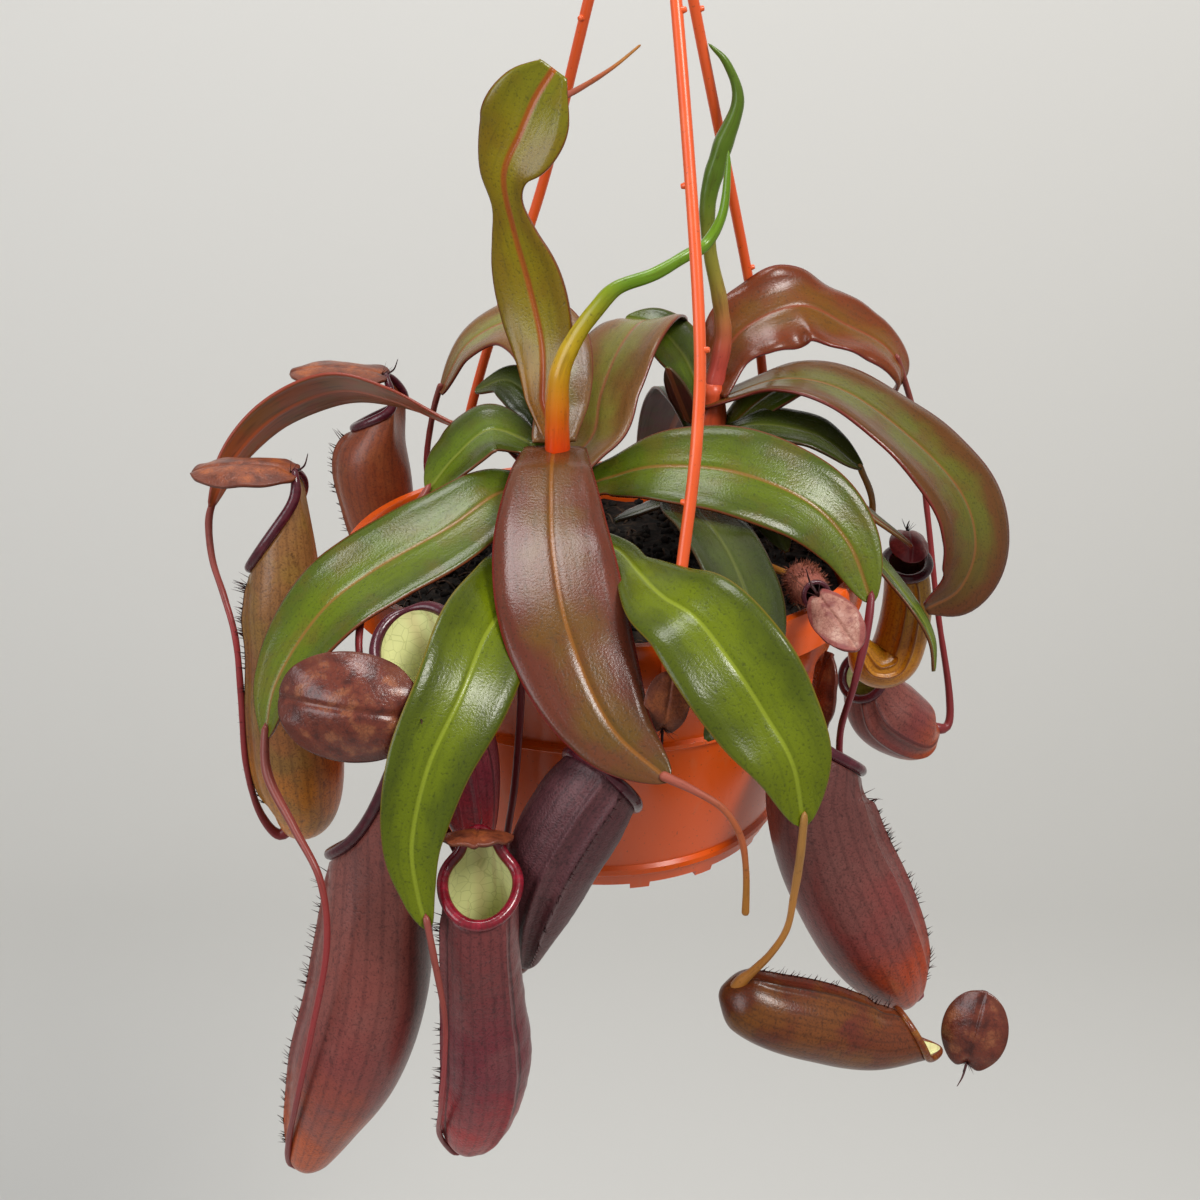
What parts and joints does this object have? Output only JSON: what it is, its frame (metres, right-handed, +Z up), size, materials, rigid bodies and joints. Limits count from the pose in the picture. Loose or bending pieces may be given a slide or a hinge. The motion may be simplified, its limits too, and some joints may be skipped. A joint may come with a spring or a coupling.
{
  "type": "hanging pitcher plant",
  "caption": "Pitcher plant in a hanging plastic pot: strap leaves with tendrils, hollow lidded pitchers over the rim, and a hanger with a top hook.",
  "frame": {"origin": "bearing point under the top of the hanger's hook", "axes": "+Z up along the hanger, -Y towards the side with the most pitchers, +X to the right of that side"},
  "size_m": [0.2162, 0.1941, 0.3895],
  "materials": {
    "orange_plastic": "glossy terracotta-orange plastic",
    "peat": "moist black peat with fibres",
    "stem": "smooth orange-red shoot",
    "green_leaf": "waxy green leaf",
    "olive_leaf": "waxy olive leaf flushed red",
    "brown_leaf": "waxy bronze-brown leaf",
    "new_leaf": "young bright green leaf",
    "tendril": "smooth red tendril",
    "purple_pitcher": "mottled purple-brown pitcher",
    "tan_pitcher": "olive-tan mottled pitcher",
    "pitcher_lid": "mottled red-brown lid"
  },
  "bodies": {
    "root": {"hanger": "orange_plastic", "leaf_back_drop": "olive_leaf", "leaf_back_left": "brown_leaf", "leaf_back_low": "green_leaf", "leaf_back_new": "new_leaf", "leaf_back_right": "brown_leaf", "leaf_beside_arm": "green_leaf", "leaf_centre_back": "brown_leaf", "leaf_far_left": "brown_leaf", "leaf_front_centre": "brown_leaf", "leaf_front_left": "green_leaf", "leaf_front_right": "green_leaf", "leaf_left": "green_leaf", "leaf_low_centre": "brown_leaf", "leaf_lower_right": "green_leaf", "leaf_mid_left": "green_leaf", "leaf_olive_right": "olive_leaf", "leaf_right_arch": "olive_leaf", "leaf_right_under": "green_leaf", "leaf_rolled": "new_leaf", "leaf_small_back": "green_leaf", "leaf_small_left": "green_leaf", "leaf_standing": "olive_leaf", "leaf_upper_right": "green_leaf", "lid_back_left": "pitcher_lid", "lid_centre": "pitcher_lid", "lid_dried": "tan_pitcher", "lid_far_left": "pitcher_lid", "lid_front": "pitcher_lid", "lid_inner_left": "pitcher_lid", "lid_left": "pitcher_lid", "lid_right": "pitcher_lid", "lid_small": "pitcher_lid", "pitcher_back_left": "tan_pitcher", "pitcher_back_right": "purple_pitcher", "pitcher_centre": "purple_pitcher", "pitcher_coiled": "tan_pitcher", "pitcher_dried": "tan_pitcher", "pitcher_far_left": "tan_pitcher", "pitcher_front": "purple_pitcher", "pitcher_inner_left": "tan_pitcher", "pitcher_left": "purple_pitcher", "pitcher_right": "purple_pitcher", "pitcher_small": "tan_pitcher", "pot": "orange_plastic", "soil": "peat", "stem_back": "stem", "stem_front": "stem", "tendril_back_left": "tendril", "tendril_back_right": "tendril", "tendril_centre": "tendril", "tendril_coiled": "tendril", "tendril_dried": "tendril", "tendril_dry": "tendril", "tendril_far_left": "tendril", "tendril_front_left": "tendril", "tendril_front_right": "tendril", "tendril_inner_left": "tendril", "tendril_left": "tendril", "tendril_upper_right": "tendril"}
  },
  "joints": []
}
